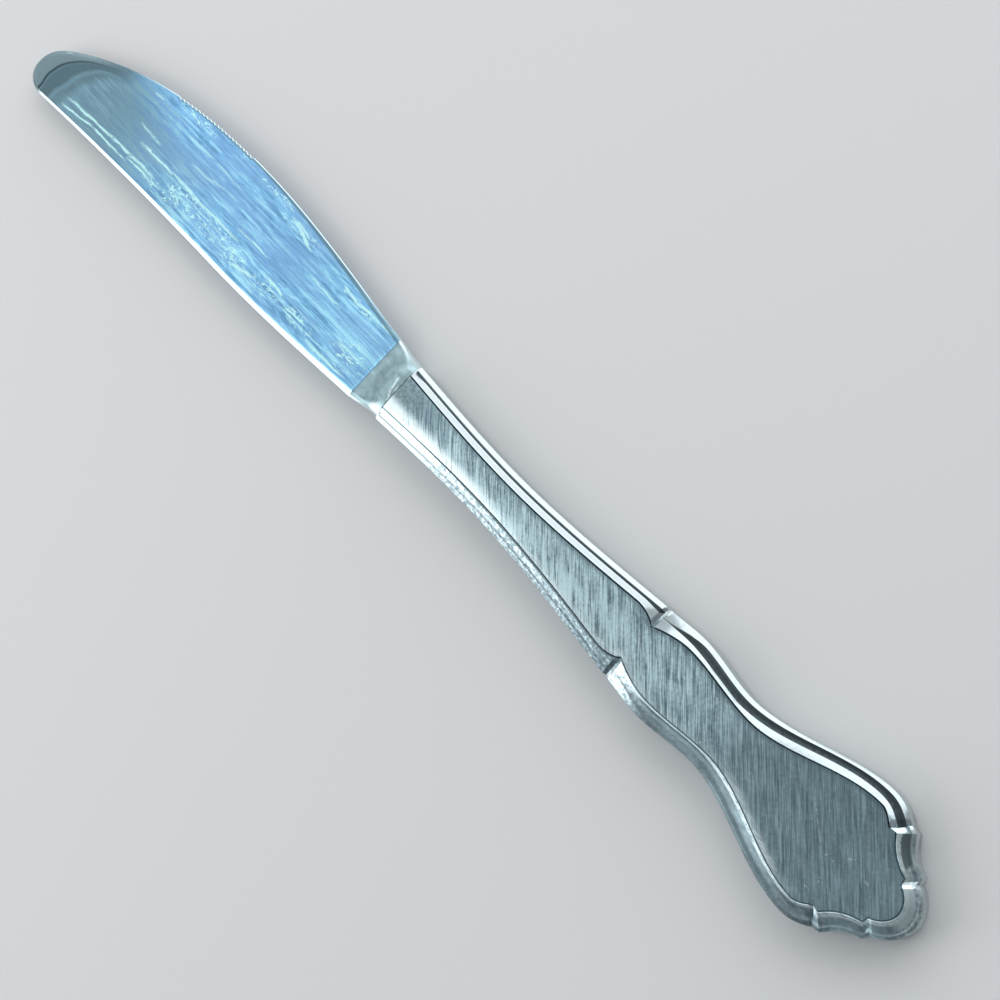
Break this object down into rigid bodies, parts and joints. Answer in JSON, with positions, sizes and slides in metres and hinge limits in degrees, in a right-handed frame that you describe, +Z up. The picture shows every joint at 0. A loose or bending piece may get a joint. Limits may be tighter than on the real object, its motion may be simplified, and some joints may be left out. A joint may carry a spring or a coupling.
{
  "type": "dinner knife",
  "caption": "Dinner knife with a wide round-nosed serrated blade and a flat moulded handle with a brushed panel, notched rim and scalloped butt.",
  "frame": {"origin": "middle of the knife's length and of the handle's width, on the surface that the knife lies on", "axes": "+X towards the blade's tip, +Y towards the spine, +Z up out of the front panel"},
  "size_m": [0.2294, 0.0246, 0.0064],
  "materials": {
    "blade_steel": "polished stainless steel with faint lengthwise wear lines",
    "shell_steel": "brushed panel with a polished moulded rim",
    "braze": "polished flush with the shells",
    "solder": "bright soft metal film",
    "filler": "dull cast cement"
  },
  "bodies": {
    "root": {"blade": "blade_steel", "handle_front_shell": "shell_steel", "handle_back_shell": "shell_steel", "handle_seam_braze": "braze", "mouth_solder_ring": "solder", "handle_filler": "filler"}
  },
  "joints": []
}
